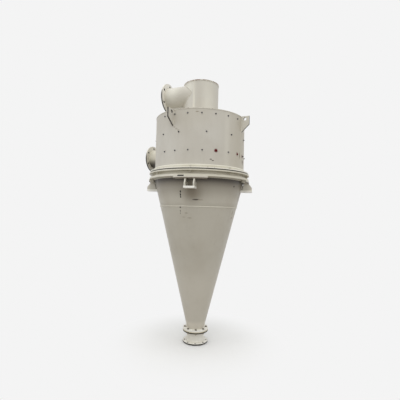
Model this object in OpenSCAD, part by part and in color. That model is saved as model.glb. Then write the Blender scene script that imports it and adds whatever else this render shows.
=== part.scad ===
// Cyclone separator: a welded steel shell that spins dust out of air.
// Air enters the drum through a tangential inlet, spins down into the cone, and leaves through
// the vortex finder, the plenum on the roof and the tangential outlet. Dust drops out of the spool.
// Millimetres. The origin is on the axis, in the plane of the four bracket seats, with +Z up.
// Both duct mouths face -X.

/* [Drum] */
// Outside diameter of the drum
drum_od = 1067; // [900:1:1300]
// Plate thickness of the drum wall
drum_t = 6; // [4:0.5:10]
// Height of the drum wall
drum_h = 638; // [560:1:900]
// Thickness of the roof plate
roof_t = 8; // [5:0.5:16]

/* [Vortex finder] */
// Outside diameter of the vortex finder
finder_od = 356; // [250:1:390]
// Wall thickness of the vortex finder
finder_t = 6; // [3:0.5:10]
// Length of the vortex finder below the roof plate
finder_h = 590; // [300:1:700]

/* [Plenum] */
// Outside diameter of the outlet plenum
plenum_od = 420; // [400:1:560]
// Wall thickness of the plenum
plenum_t = 6; // [4:0.5:8]
// Height of the plenum wall
plenum_h = 432; // [380:1:600]
// Thickness of the plenum lid
lid_t = 10; // [5:0.5:16]
// How far the lid stands out past the plenum wall
lid_lip = 4; // [0:0.5:12]

/* [Ducts] */
// Outside diameter of both duct nozzles
duct_od = 254; // [180:1:270]
// Wall thickness of both duct nozzles
duct_t = 6; // [4:0.5:10]
// Outside diameter of the duct flanges
duct_flange_od = 368; // [350:1:390]
// Thickness of the duct flanges
duct_flange_t = 16; // [10:0.5:24]
// Bolt circle of the duct flanges
duct_pcd = 305; // [296:1:320]
// Bolt holes in each duct flange
duct_bolts = 6; // [4:1:8]
// Diameter of those holes
duct_hole_d = 18; // [12:0.5:20]
// Distance of the inlet axis above the foot of the drum wall
inlet_rise = 287; // [230:1:340]
// Distance from the cyclone axis to the inlet flange's face
inlet_reach = 919; // [720:1:1100]
// How far the inlet's outer side lies inside the drum's outer face
inlet_step = 16.5; // [8:0.5:40]
// Distance from the cyclone axis to the outlet flange's face
outlet_reach = 416; // [340:1:600]
// How far the outlet's outer side lies inside the plenum's outer face
outlet_step = 4; // [2:0.5:12]
// Space between the top of the outlet pipe and the lid
outlet_headroom = 2; // [1:0.5:40]

/* [Body joint] */
// How far the bolted ring stands out past the drum
ring_w = 64.5; // [62:0.5:80]
// Thickness of that ring
ring_t = 14; // [10:0.5:24]
// Thickness of the gasket between ring and drum
body_gasket_t = 12; // [3:0.5:16]
// How far the gasket's edge lies inside the ring's edge
body_gasket_inset = 12; // [2:0.5:16]
// How far the drum angle's edge lies inside the ring's edge
angle_inset = 7.5; // [0:0.5:14]
// Thickness of the drum angle's level leg
angle_t = 10; // [6:0.5:14]
// Height of the drum angle
angle_h = 43; // [30:1:60]
// Thickness of the upright leg
hoop_t = 9; // [5:0.5:12]
// Bolts through the ring and the drum angle
body_bolts = 8; // [4:4:24]
// Distance of the bolt circle outside the drum
body_bolt_out = 34.5; // [30:0.5:38]
// Diameter of the bolt holes
body_hole_d = 20; // [14:0.5:24]

/* [Cone] */
// Height of the cone below the collar
cone_h = 1733; // [1500:1:2200]
// Height of the cone's lower course
lower_course_h = 1425; // [1000:1:1480]
// Plate thickness of the cone and collar
cone_t = 6; // [4:0.5:10]
// Height of the collar between cone and ring
collar_h = 66; // [62:1:90]

/* [Discharge] */
// Outside diameter of the cone's lower end and of the spool
outlet_neck_od = 203; // [150:1:230]
// Wall thickness of the spool
neck_t = 6; // [4:0.5:10]
// Outside diameter of the three discharge flanges
small_flange_od = 296; // [286:1:340]
// Thickness of the flange on the cone
cone_flange_t = 19; // [12:0.5:24]
// Thickness of the flange on top of the spool
spool_flange_t = 16; // [10:0.5:24]
// Thickness of the flange at the bottom
discharge_flange_t = 12; // [8:0.5:20]
// Length of the spool's pipe between its flanges
neck_h = 113; // [80:1:300]
// Thickness of the gasket above the spool
spool_gasket_t = 3; // [1:0.5:6]
// Bolt circle of the discharge flanges
small_pcd = 250; // [244:1:256]
// Bolt holes in each discharge flange
small_bolts = 8; // [4:1:12]
// Diameter of those holes
small_hole_d = 16; // [10:0.5:18]

/* [Support ring] */
// How far the support ring stands out past the collar
support_w = 61.5; // [55:0.5:66]
// Thickness of that ring
support_t = 22; // [14:0.5:24]
// Space for the body bolts' nuts between the two rings
support_drop = 38; // [32:0.5:38]

/* [Support brackets] */
// Height from the seats up to the body ring's underside
bracket_h = 188; // [166:1:240]
// How far a bracket's pad stands out past the collar
pad_w = 66.5; // [64:0.5:80]
// Thickness of that pad
pad_t = 25; // [12:0.5:32]
// Angle that a pad spans about the axis
pad_angle = 36; // [14:1:60]
// Thickness of the seat plates
seat_t = 20; // [12:0.5:30]
// Width of a seat plate
seat_w = 117; // [110:1:160]
// How far a seat plate reaches out past its gussets' feet
seat_lip = 2; // [0:0.5:30]
// Thickness of a gusset
gusset_t = 12; // [8:0.5:16]
// Distance over the two gussets
gusset_span = 107; // [95:1:110]
// How far a gusset's foot reaches out past the drum
gusset_foot = 101.5; // [70:0.5:130]
// Height of the upright edge at a gusset's foot
gusset_foot_h = 31; // [10:1:50]
// How far a gusset's head reaches out past the drum
gusset_head = 62; // [40:0.5:63]
// Corner left off a gusset between the cone and the pad
snipe = 28; // [10:1:38]
// Diameter of the hole in a seat plate
seat_hole_d = 24; // [14:0.5:30]
// Distance of that hole outside the drum
seat_hole_out = 38.5; // [30:0.5:50]

/* [Lifting lugs] */
// Thickness of a lug
lug_t = 18; // [12:0.5:25]
// How far a lug stands out from the drum
lug_w = 91.5; // [85:0.5:120]
// Height of a lug along the drum
lug_h = 181; // [150:1:220]
// Height of a lug's outer edge
lug_edge_h = 97; // [75:1:120]
// Diameter of the shackle hole
lug_hole_d = 36; // [24:1:40]
// Distance of the shackle hole outside the drum
lug_hole_out = 41.5; // [38:0.5:50]
// Distance of the shackle hole below the lug's top
lug_hole_down = 33; // [30:0.5:44]

/* [Turning] */
// Turn of the brackets and of the body bolts about the axis
bracket_turn = -75.5; // [-90:0.5:-60]
// Turn of the pairs of lugs about the axis
lug_turn = -52; // [-60:0.5:-45]
// Half the angle between the two lugs of a pair
lug_spread = 48; // [44:0.5:50]
// Turn of the discharge bolts about the axis
small_turn = -64; // [-90:0.5:0]

/* [Welds] */
// Space left for the weld where a piece meets a curved shell
weld_gap = 0.3; // [0.1:0.1:0.6]

/* [Hidden] */
$fn = 240;
eps = 1;
drum_r = drum_od / 2;
bore_r = drum_r - drum_t;
neck_r = outlet_neck_od / 2;
duct_r = duct_od / 2;
plenum_r = plenum_od / 2;
finder_r = finder_od / 2;

ring_z = bracket_h;
gasket_z = ring_z + ring_t;
drum_z = gasket_z + body_gasket_t;
roof_z = drum_z + drum_h;
plenum_z = roof_z + roof_t;
lid_z = plenum_z + plenum_h;
support_z = ring_z - support_drop - support_t;
pad_z = support_z - pad_t;
collar_z = ring_z - collar_h;
cone_z = collar_z - cone_h;
seam_z = cone_z + lower_course_h;
cone_flange_z = cone_z - cone_flange_t;
spool_gasket_z = cone_flange_z - spool_gasket_t;
spool_flange_z = spool_gasket_z - spool_flange_t;
neck_z = spool_flange_z - neck_h;
discharge_z = neck_z - discharge_flange_t;

cone_slope = (drum_r - neck_r) / cone_h;
cone_wall = cone_t * sqrt(1 + cone_slope * cone_slope);
inlet_y = drum_r - inlet_step - duct_r;
inlet_z = drum_z + inlet_rise;
outlet_y = -(plenum_r - outlet_step - duct_r);
outlet_z = lid_z - outlet_headroom - duct_r;

FOUR = [0:3];
lug_angles = [for (side = [0, 180], spread = [-1, 1]) side + lug_turn + spread * lug_spread];

PAINT = "#c9c2ae";
CONE_PAINT = "#b7ae98";
RUBBER = "#3a3833";
FIBRE = "#b59a4c";

// A disc with a round hole, standing on z
module washer(z, h, outer_r, inner_r) {
    translate([0, 0, z])
        difference() {
            cylinder(h = h, r = outer_r);
            translate([0, 0, -eps])
                cylinder(h = h + 2 * eps, r = inner_r);
        }
}

// A ring of drills about the axis
module bolt_drills(z, h, count, pcd, d, turn) {
    for (i = [0:count - 1])
        rotate([0, 0, turn + i * 360 / count])
            translate([pcd / 2, 0, z - eps])
                cylinder(h = h + 2 * eps, d = d);
}

// A flange with bolt holes
module flange(z, h, outer_r, inner_r, count, pcd, d, turn) {
    difference() {
        washer(z, h, outer_r, inner_r);
        bolt_drills(z, h, count, pcd, d, turn);
    }
}

// The outside of the cone from z to z plus h, set out by the given space
module cone_body(z, h, space) {
    low_r = neck_r + (z - cone_z) * cone_slope + space;
    translate([0, 0, z])
        cylinder(h = h, r1 = low_r, r2 = low_r + h * cone_slope);
}

// One quarter of a course of the cone's shell
module cone_quarter(z, h, quarter) {
    low_r = neck_r + (z - cone_z) * cone_slope;
    high_r = low_r + h * cone_slope;
    color(CONE_PAINT)
        rotate([0, 0, quarter * 90])
            rotate_extrude(angle = 90)
                polygon([
                    [low_r - cone_wall, z], [low_r, z],
                    [high_r, z + h], [high_r - cone_wall, z + h]
                ]);
}

// One quarter of an upright round wall
module wall_quarter(z, h, outer_r, t, quarter) {
    rotate([0, 0, quarter * 90])
        rotate_extrude(angle = 90)
            translate([outer_r - t, z])
                square([t, h]);
}

// What the cone, collar and drum take away from a piece that is welded to them
module shell_cut(space) {
    cone_body(cone_z, cone_h, space);
    translate([0, 0, collar_z])
        cylinder(h = roof_z + roof_t - collar_z + eps, r = drum_r + space);
}

// A duct's length along -X from the axis, at its own height and side
module duct_run(reach, r, y, z) {
    translate([-reach, y, z])
        rotate([0, 90, 0])
            cylinder(h = reach, r = r);
}

module discharge_flange() {
    color(CONE_PAINT)
        flange(discharge_z, discharge_flange_t, small_flange_od / 2, neck_r - neck_t,
            small_bolts, small_pcd, small_hole_d, small_turn);
}

module discharge_neck() {
    color(CONE_PAINT)
        washer(neck_z, neck_h, neck_r, neck_r - neck_t);
}

module spool_flange() {
    color(CONE_PAINT)
        flange(spool_flange_z, spool_flange_t, small_flange_od / 2, neck_r - neck_t,
            small_bolts, small_pcd, small_hole_d, small_turn);
}

module spool_gasket() {
    color(FIBRE)
        flange(spool_gasket_z, spool_gasket_t, small_flange_od / 2, neck_r - neck_t,
            small_bolts, small_pcd, small_hole_d, small_turn);
}

module cone_outlet_flange() {
    color(CONE_PAINT)
        flange(cone_flange_z, cone_flange_t, small_flange_od / 2, neck_r - neck_t,
            small_bolts, small_pcd, small_hole_d, small_turn);
}

module lower_cone(quarter) {
    cone_quarter(cone_z, lower_course_h, quarter);
}

module upper_cone(quarter) {
    cone_quarter(seam_z, cone_h - lower_course_h, quarter);
}

module cone_collar() {
    color(CONE_PAINT)
        washer(collar_z, collar_h, drum_r, bore_r);
}

module support_ring() {
    color(PAINT)
        washer(support_z, support_t, drum_r + support_w, drum_r + weld_gap);
}

module body_ring() {
    color(PAINT)
        flange(ring_z, ring_t, drum_r + ring_w, bore_r,
            body_bolts, drum_od + 2 * body_bolt_out, body_hole_d, bracket_turn);
}

module body_gasket() {
    color(RUBBER)
        flange(gasket_z, body_gasket_t, drum_r + ring_w - body_gasket_inset, bore_r,
            body_bolts, drum_od + 2 * body_bolt_out, body_hole_d, bracket_turn);
}

module drum_angle() {
    inner_r = drum_r + weld_gap;
    angle_r = drum_r + ring_w - angle_inset;
    color(PAINT)
        difference() {
            rotate_extrude()
                polygon([
                    [inner_r, drum_z], [angle_r, drum_z],
                    [angle_r, drum_z + angle_t], [inner_r + hoop_t, drum_z + angle_t],
                    [inner_r + hoop_t, drum_z + angle_h], [inner_r, drum_z + angle_h]
                ]);
            bolt_drills(drum_z, angle_t, body_bolts, drum_od + 2 * body_bolt_out,
                body_hole_d, bracket_turn);
        }
}

module drum_wall(quarter) {
    color(PAINT)
        difference() {
            wall_quarter(drum_z, drum_h, drum_r, drum_t, quarter);
            duct_run(inlet_reach, duct_r - duct_t, inlet_y, inlet_z);
        }
}

module drum_roof() {
    color(PAINT)
        washer(roof_z, roof_t, drum_r, finder_r - finder_t);
}

module vortex_finder() {
    color(CONE_PAINT)
        washer(roof_z - finder_h, finder_h, finder_r, finder_r - finder_t);
}

module plenum_wall(quarter) {
    color(PAINT)
        difference() {
            wall_quarter(plenum_z, plenum_h, plenum_r, plenum_t, quarter);
            duct_run(outlet_reach, duct_r - duct_t, outlet_y, outlet_z);
        }
}

module plenum_lid() {
    color(PAINT)
        translate([0, 0, lid_z])
            cylinder(h = lid_t, r = plenum_r + lid_lip);
}

// A duct pipe that is cut to sit on the outside of a round shell
module saddle_pipe(reach, y, z, shell_r) {
    length = reach - duct_flange_t;
    color(PAINT)
        difference() {
            duct_run(length, duct_r, y, z);
            translate([-eps, 0, 0])
                duct_run(length + eps, duct_r - duct_t, y, z);
            translate([0, 0, z - duct_od])
                cylinder(h = 2 * duct_od, r = shell_r + weld_gap);
        }
}

// A duct flange with its face at the duct's mouth
module duct_flange(reach, y, z) {
    color(PAINT)
        translate([-reach, y, z])
            rotate([0, 90, 0])
                flange(0, duct_flange_t, duct_flange_od / 2, duct_r - duct_t,
                    duct_bolts, duct_pcd, duct_hole_d, 0);
}

module outlet_pipe() {
    saddle_pipe(outlet_reach, outlet_y, outlet_z, plenum_r);
}

module outlet_flange() {
    duct_flange(outlet_reach, outlet_y, outlet_z);
}

module inlet_pipe() {
    saddle_pipe(inlet_reach, inlet_y, inlet_z, drum_r);
}

module inlet_flange() {
    duct_flange(inlet_reach, inlet_y, inlet_z);
}

module lifting_lug(index) {
    top_z = roof_z + roof_t;
    root_r = drum_r - lug_t;
    color(PAINT)
        difference() {
            rotate([0, 0, lug_angles[index]])
                translate([0, lug_t / 2, 0])
                    rotate([90, 0, 0])
                        linear_extrude(height = lug_t)
                            difference() {
                                polygon([
                                    [root_r, top_z - lug_h], [drum_r, top_z - lug_h],
                                    [drum_r + lug_w, top_z - lug_edge_h],
                                    [drum_r + lug_w, top_z], [root_r, top_z]
                                ]);
                                translate([drum_r + lug_hole_out, top_z - lug_hole_down])
                                    circle(d = lug_hole_d);
                            }
            shell_cut(weld_gap);
        }
}

module bracket_seat(index) {
    color(PAINT)
        difference() {
            rotate([0, 0, bracket_turn + index * 90])
                difference() {
                    translate([neck_r, -seat_w / 2, 0])
                        cube([drum_r + gusset_foot + seat_lip - neck_r, seat_w, seat_t]);
                    translate([drum_r + seat_hole_out, 0, -eps])
                        cylinder(h = seat_t + 2 * eps, d = seat_hole_d);
                }
            shell_cut(weld_gap);
        }
}

// A bracket's curved pad under the support ring, and its two gussets
module bracket_body(index) {
    side = gusset_span / 2;
    corner_r = neck_r + (pad_z - cone_z) * cone_slope;
    color(PAINT)
        difference() {
            rotate([0, 0, bracket_turn + index * 90]) {
                rotate([0, 0, -pad_angle / 2])
                    rotate_extrude(angle = pad_angle)
                        translate([neck_r, pad_z])
                            square([drum_r + pad_w - neck_r, pad_t]);
                for (y = [-side + gusset_t, side])
                    translate([0, y, 0])
                        rotate([90, 0, 0])
                            linear_extrude(height = gusset_t)
                                polygon([
                                    [neck_r, seat_t], [drum_r + gusset_foot, seat_t],
                                    [drum_r + gusset_foot, seat_t + gusset_foot_h],
                                    [drum_r + gusset_head, pad_z],
                                    [drum_r + gusset_head, pad_z + eps],
                                    [corner_r + snipe, pad_z + eps], [corner_r + snipe, pad_z],
                                    [corner_r - snipe, pad_z - 2 * snipe]
                                ]);
            }
            shell_cut(weld_gap);
        }
}

discharge_flange();
discharge_neck();
spool_flange();
spool_gasket();
cone_outlet_flange();
for (i = FOUR)
    lower_cone(i);
for (i = FOUR)
    upper_cone(i);
cone_collar();
support_ring();
body_ring();
body_gasket();
drum_angle();
for (i = FOUR)
    drum_wall(i);
drum_roof();
vortex_finder();
for (i = FOUR)
    plenum_wall(i);
plenum_lid();
outlet_pipe();
outlet_flange();
inlet_pipe();
inlet_flange();
for (i = FOUR)
    lifting_lug(i);
for (i = FOUR)
    bracket_seat(i);
for (i = FOUR)
    bracket_body(i);
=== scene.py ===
"""Cyclone separator: camera, light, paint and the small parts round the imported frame."""

import math

import bmesh
import bpy
from mathutils import Matrix, Vector


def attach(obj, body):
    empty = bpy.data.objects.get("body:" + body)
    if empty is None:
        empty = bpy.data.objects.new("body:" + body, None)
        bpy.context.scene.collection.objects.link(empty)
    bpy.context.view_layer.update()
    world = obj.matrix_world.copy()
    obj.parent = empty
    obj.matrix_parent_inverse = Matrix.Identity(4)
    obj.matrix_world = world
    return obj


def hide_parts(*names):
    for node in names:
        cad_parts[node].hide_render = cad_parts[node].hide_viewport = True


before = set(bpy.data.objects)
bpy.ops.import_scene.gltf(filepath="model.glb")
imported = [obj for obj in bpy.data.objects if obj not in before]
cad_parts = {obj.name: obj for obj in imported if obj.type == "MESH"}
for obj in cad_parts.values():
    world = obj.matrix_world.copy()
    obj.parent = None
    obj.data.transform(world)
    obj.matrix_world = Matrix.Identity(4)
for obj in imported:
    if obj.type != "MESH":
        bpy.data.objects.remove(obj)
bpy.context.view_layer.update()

# Sizes of the CAD model, in metres and degrees: _R is a radius, _Z a height, _T a thickness.
WALL_T = 0.006

# Drum with its hoop and roof, the plenum on it, and the lifting lugs.
DRUM_R = 0.5335
DRUM_Z0 = 0.214
DRUM_Z1 = 0.852
HOOP_Z1 = 0.257
ROOF_Z1 = 0.860
PLENUM_R = 0.210
PLENUM_Z1 = 1.292
PLENUM_SEAM = -90.1
LUG_ANGLES = (-100.0, -4.0, 80.0, 176.0)
LUG_T = 0.018
LUG_DROP = 0.181

# Cone, from its outlet up past the seam between its courses to the drum's width.
CONE_Z0 = -1.611
OUTLET_R = 0.1015
SEAM_Z = -0.186
SEAM_R = 0.4567
CONE_Z1 = 0.122
CONE_SLOPE = (DRUM_R - OUTLET_R) / (CONE_Z1 - CONE_Z0)

# Rings of the bolted joint, and the brackets: seat, gussets with snipped corners, and pad.
SUPPORT_Z0 = 0.128
SUPPORT_Z1 = 0.150
RING_Z0 = 0.188
LEG_Z1 = 0.224
BODY_BOLT_R = 0.568
BRACKET_TURN = -75.5
SEAT_Z1 = 0.020
SEAT_WELD_R = (0.512, 0.632)
GUSSETS_WIDTH = 0.107
GUSSET_T = 0.012
SNIPE = 0.028
PAD_Z0 = 0.103
PAD_R0 = 0.530
PAD_R = 0.600
PAD_HALF = 18.0

# The two ducts and their flanges.
DUCT_R = 0.127
INLET_X = -0.919
INLET_Y = 0.390
INLET_Z = 0.501
EXIT_X = -0.416
EXIT_Y = -0.079
EXIT_Z = 1.163
DUCT_FLANGE_T = 0.016
DUCT_FLANGE_R = 0.184
DUCT_BORE_R = 0.121
DUCT_HOLE_R = 0.009
DUCT_PITCH_R = 0.1525

# The small flanges below the cone.
DISCHARGE_Z0 = -1.774
DISCHARGE_Z1 = -1.762
SPOOL_Z0 = -1.649
SPOOL_Z1 = -1.633
OUTLET_FLANGE_Z0 = -1.630
SMALL_FLANGE_R = 0.148
SMALL_BORE_R = 0.0955
SMALL_HOLE_R = 0.008
SMALL_BOLT_R = 0.125
SMALL_TURN = -64.0

# The floor, just below the discharge.
FLOOR_Z = -1.780
UP = Vector((0.0, 0.0, 1.0))


def srgb(red, green, blue):
    """A colour as 0 to 255 screen values, turned to the linear values that shaders take."""
    parts = [value / 255.0 for value in (red, green, blue)]
    lit = [part / 12.92 if part <= 0.04045 else ((part + 0.055) / 1.055) ** 2.4 for part in parts]
    return (*lit, 1.0)


def around(radius, angle, z):
    """The point at that radius and azimuth round the vessel's axis."""
    turn = math.radians(angle)
    return Vector((radius * math.cos(turn), radius * math.sin(turn), z))


def circle(count):
    """The cosine and the sine of the even steps of one turn."""
    turns = [2.0 * math.pi * step / count for step in range(count)]
    return [(math.cos(turn), math.sin(turn)) for turn in turns]


def cone_radius(z):
    """The cone's outside radius at that height."""
    return OUTLET_R + (z - CONE_Z0) * CONE_SLOPE


def new_object(name, data):
    """An object of that data, linked into the scene."""
    made = bpy.data.objects.new(name, data)
    bpy.context.scene.collection.objects.link(made)
    return made


# Camera: the photograph's place, height, tilt and roll.
VIEW_TURN = 24.0
VIEW_DISTANCE = 3.81
VIEW_HEIGHT = -0.248
VIEW_PITCH = 2.26
VIEW_ROLL = 1.45
VIEW_YAW = 0.25
FOCAL_PIXELS = 314.0
IMAGE_PIXELS = 400.0


def add_camera():
    data = bpy.data.cameras.new("photo_camera")
    data.sensor_width = 36.0
    data.lens = FOCAL_PIXELS / IMAGE_PIXELS * data.sensor_width
    data.clip_end = 200.0
    camera = new_object("photo_camera", data)
    turn = math.radians(VIEW_TURN)
    place = Vector((VIEW_DISTANCE * math.sin(turn), -VIEW_DISTANCE * math.cos(turn), VIEW_HEIGHT))
    heading = turn - math.radians(VIEW_YAW)
    pitch = math.radians(VIEW_PITCH)
    level = Vector((-math.sin(heading), math.cos(heading), 0.0))
    forward = level * math.cos(pitch) + UP * math.sin(pitch)
    right = level.cross(UP).normalized()
    up = right.cross(forward).normalized()
    roll = math.radians(VIEW_ROLL)
    right_rolled = right * math.cos(roll) + up * math.sin(roll)
    up_rolled = up * math.cos(roll) - right * math.sin(roll)
    turn_matrix = Matrix((right_rolled, up_rolled, -forward)).transposed()
    camera.matrix_world = Matrix.Translation(place) @ turn_matrix.to_4x4()
    bpy.context.scene.camera = camera


add_camera()


def feed(tree, socket, value):
    """Links the value if it comes from a node, or else sets it on the socket."""
    if isinstance(value, bpy.types.NodeSocket):
        tree.links.new(value, socket)
    else:
        socket.default_value = value


def add_node(tree, kind, inputs):
    """A node whose inputs, by name or number, are fed those values."""
    node = tree.nodes.new(kind)
    for key, value in inputs.items():
        feed(tree, node.inputs[key], value)
    return node


class Graph:
    """A material under construction, with short names for the nodes that it needs."""

    def __init__(self, name):
        self.material = bpy.data.materials.new(name)
        self.material.use_nodes = True
        self.tree = self.material.node_tree
        self.tree.nodes.clear()
        self.shader = self.add("ShaderNodeBsdfPrincipled", {})
        self.output = self.add("ShaderNodeOutputMaterial", {"Surface": self.shader.outputs["BSDF"]})
        source = self.add("ShaderNodeTexCoord", {})
        self.place = source.outputs["Object"]
        self.x, self.y, self.z = self.add("ShaderNodeSeparateXYZ", {0: self.place}).outputs
        facing = self.add("ShaderNodeSeparateXYZ", {0: source.outputs["Normal"]})
        self.nx, self.ny, self.nz = facing.outputs
        self.material.diffuse_color = (0.6, 0.58, 0.5, 1.0)

    def add(self, kind, inputs):
        return add_node(self.tree, kind, inputs)

    def surface(self, socket_name, value):
        """Feeds one input of the surface shader."""
        feed(self.tree, self.shader.inputs[socket_name], value)

    def math(self, operation, first, second=0.0):
        node = self.add("ShaderNodeMath", {0: first, 1: second})
        node.operation = operation
        return node.outputs[0]

    def times(self, first, second):
        return self.math("MULTIPLY", first, second)

    def plus(self, first, second):
        return self.math("ADD", first, second)

    def minus(self, first, second):
        return self.math("SUBTRACT", first, second)

    def ramp(self, value, start, end, low=0.0, high=1.0):
        """The value between start and end, smoothly turned to low to high."""
        inputs = {"Value": value, "From Min": start, "From Max": end, "To Min": low, "To Max": high}
        node = self.add("ShaderNodeMapRange", inputs)
        node.interpolation_type = "SMOOTHSTEP"
        return node.outputs["Result"]

    def mapped(self, scale, shift):
        """The place on the object, scaled and then shifted."""
        inputs = {"Vector": self.place, "Scale": scale, "Location": shift}
        return self.add("ShaderNodeMapping", inputs).outputs[0]

    def noise(self, scale, detail, stretch=(1.0, 1.0, 1.0), shift=(0.0, 0.0, 0.0), rough=0.55):
        """A noise of about 0 to 1 that stays with the object."""
        inputs = {"Vector": self.mapped(stretch, shift), "Scale": scale, "Detail": detail, "Roughness": rough}
        return self.add("ShaderNodeTexNoise", inputs).outputs["Fac"]

    def mix(self, amount, first, second):
        """A colour that goes from the first to the second with the amount."""
        node = self.tree.nodes.new("ShaderNodeMix")
        node.data_type = "RGBA"
        for number, value in ((0, amount), (6, first), (7, second)):
            feed(self.tree, node.inputs[number], value)
        return node.outputs[2]

    def length(self, first, second):
        """The length of a flat vector with those two parts."""
        return self.math("SQRT", self.plus(self.times(first, first), self.times(second, second)))

    def radius(self):
        """The distance from the vessel's axis."""
        return self.length(self.x, self.y)

    def band(self, value, centre, half, soft):
        """1 within half of centre, falling to 0 over soft."""
        off = self.math("ABSOLUTE", self.minus(value, centre))
        return self.ramp(off, half, half + soft, 1.0, 0.0)

    def spot(self, centre, size, edge, wobble=None):
        """1 inside an oval of that half size at a point, 0 outside, with an edge that a noise may break."""
        scale = Vector((1.0 / size[0], 1.0 / size[0], 1.0 / size[1]))
        shift = [-part * factor for part, factor in zip(centre, scale)]
        length = self.add("ShaderNodeVectorMath", {0: self.mapped(scale, shift)})
        length.operation = "LENGTH"
        reach = length.outputs["Value"]
        if wobble is not None:
            reach = self.plus(reach, self.times(self.minus(wobble, 0.5), 1.6))
        return self.ramp(reach, 1.0 - edge, 1.0 + edge, 1.0, 0.0)

    def stained(self, colour, marks, wobble=None):
        """The colour with single marks on it: their tint, centre, half size, edge and strength."""
        for tint, centre, size, edge, strength in marks:
            mask = self.spot(centre, size, edge, wobble)
            colour = self.mix(self.times(mask, strength), colour, tint)
        return colour

    def bump(self, height, distance, strength, before=None):
        """A normal that the height tilts, on top of a bump before it."""
        inputs = {"Height": height, "Distance": distance, "Strength": strength}
        if before is not None:
            inputs["Normal"] = before
        return self.add("ShaderNodeBump", inputs).outputs["Normal"]


# Dirt and wear in the paint, and the tints that paint light and shade onto it.
# Grime, and in a few places painted shade.
GRIME_AND_SHADE = srgb(132, 120, 98)
# Painted shade on the drum's sides and on a patch near its top.
SIDE_SHADE = srgb(176, 165, 138)
# Painted shade under the joint's rings and under the brackets' pads.
SHADE_UNDER_RING = srgb(92, 80, 66)
# Painted shadow below each bracket.
BRACKET_SHADOW = srgb(104, 90, 70)
RUST = srgb(112, 66, 38)
BARE = srgb(70, 62, 55)
# Darkest painted shade: under the pipe and the rings, in corners, and on plate edges and rims.
DEEP_SHADE = srgb(52, 45, 38)
# Black of real drips, and also painted shade in holes, in a slot and on flange rims.
BLACK_DRIPS_AND_SHADE = srgb(30, 26, 22)
RED = srgb(94, 2, 12)
# Painted highlights.
PAINTED_HIGHLIGHT = srgb(238, 235, 222)
# Painted light on the lower cone.
PAINTED_CONE_LIGHT = srgb(228, 221, 207)

# The cream paints: main colour, a second tone for its clouding, amount of grime and of streaks. One cream is
# set lighter on the flanges, pipes, rings, collar, seats and spout, and darker on the cone: painted light and
# shade.
CREAMS = {
    "drum": ((205, 201, 191), (199, 194, 183), 0.08, 0.06),
    "top": ((207, 203, 193), (202, 197, 185), 0.07, 0.06),
    "inlet_flange": ((222, 218, 206), (214, 209, 196), 0.10, 0.05),
    "outlet_flange": ((232, 229, 220), (226, 222, 212), 0.08, 0.04),
    "outlet_pipe": ((210, 206, 195), (204, 200, 188), 0.07, 0.05),
    "inlet_pipe": ((222, 218, 202), (214, 209, 192), 0.10, 0.04),
    "rings": ((222, 218, 204), (212, 207, 190), 0.20, 0.10),
    "plates": ((210, 206, 194), (203, 198, 184), 0.18, 0.10),
    "lugs": ((208, 204, 192), (199, 194, 183), 0.15, 0.08),
    "seats": ((248, 246, 238), (240, 236, 226), 0.06, 0.03),
    "collar": ((226, 222, 208), (218, 213, 198), 0.10, 0.05),
    "cone": ((196, 191, 178), (190, 184, 170), 0.10, 0.10),
    "spout": ((238, 235, 226), (230, 226, 215), 0.10, 0.05),
    "welds": ((222, 218, 204), (208, 203, 188), 0.20, 0.05),
    "bolts": ((208, 203, 188), (190, 184, 168), 0.35, 0.05),
}


def paint(kind, chips=(), marks=(), light_and_shade=(), rough=0.38):
    """Old cream enamel: cloudy tone, dust streaks, flecks, painted light and shade, chipped rims and single
    marks.
    """
    base, shade, grime, streaks = CREAMS[kind]
    graph = Graph(f"cream_enamel_{kind}")
    cloud = graph.noise(2.4, 4.0)
    colour = graph.mix(graph.ramp(cloud, 0.38, 0.66), srgb(*base), srgb(*shade))
    streak = graph.noise(1.0, 5.0, stretch=(26.0, 26.0, 1.6), rough=0.65)
    run = graph.times(graph.ramp(streak, 0.52, 0.80), streaks)
    colour = graph.mix(run, colour, GRIME_AND_SHADE)
    film = graph.noise(9.0, 6.0, shift=(3.1, 1.7, 0.4), rough=0.7)
    dirt = graph.times(graph.ramp(film, 0.50, 0.86), grime)
    colour = graph.mix(dirt, colour, GRIME_AND_SHADE)
    fleck = graph.noise(150.0, 2.0, shift=(1.3, 0.2, 4.4))
    far = graph.noise(16.0, 2.0, shift=(7.3, 2.2, 1.4))
    seldom = graph.times(graph.ramp(fleck, 0.70, 0.76), graph.ramp(far, 0.55, 0.65))
    colour = graph.mix(graph.times(seldom, 0.7), colour, BARE)
    for tint, build in light_and_shade:
        colour = graph.mix(build(graph), colour, tint)
    broken = graph.noise(95.0, 3.0, shift=(0.7, 5.2, 2.2), rough=0.7)
    patch = graph.noise(14.0, 3.0, shift=(5.7, 0.2, 6.2))
    for tint, amount, build in chips:
        level = graph.plus(graph.times(broken, 0.55), graph.times(patch, 0.45))
        chipped = graph.ramp(level, 0.62 - 0.16 * amount, 0.66 - 0.16 * amount)
        colour = graph.mix(graph.times(chipped, build(graph)), colour, tint)
    graph.surface("Base Color", graph.stained(colour, marks, broken))
    gloss = graph.noise(22.0, 4.0, shift=(2.0, 2.0, 9.0))
    level = graph.ramp(gloss, 0.3, 0.75, rough - 0.07, rough + 0.13)
    graph.surface("Roughness", graph.plus(level, graph.times(dirt, 0.3)))
    wave = graph.bump(graph.noise(4.5, 2.0, shift=(4.0, 3.0, 1.0)), 0.004, 0.35)
    peel = graph.bump(graph.noise(520.0, 2.0), 0.0002, 0.5, wave)
    graph.surface("Normal", peel)
    graph.surface("IOR", 1.45)
    graph.surface("Specular IOR Level", 0.4)
    return graph.material


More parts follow.
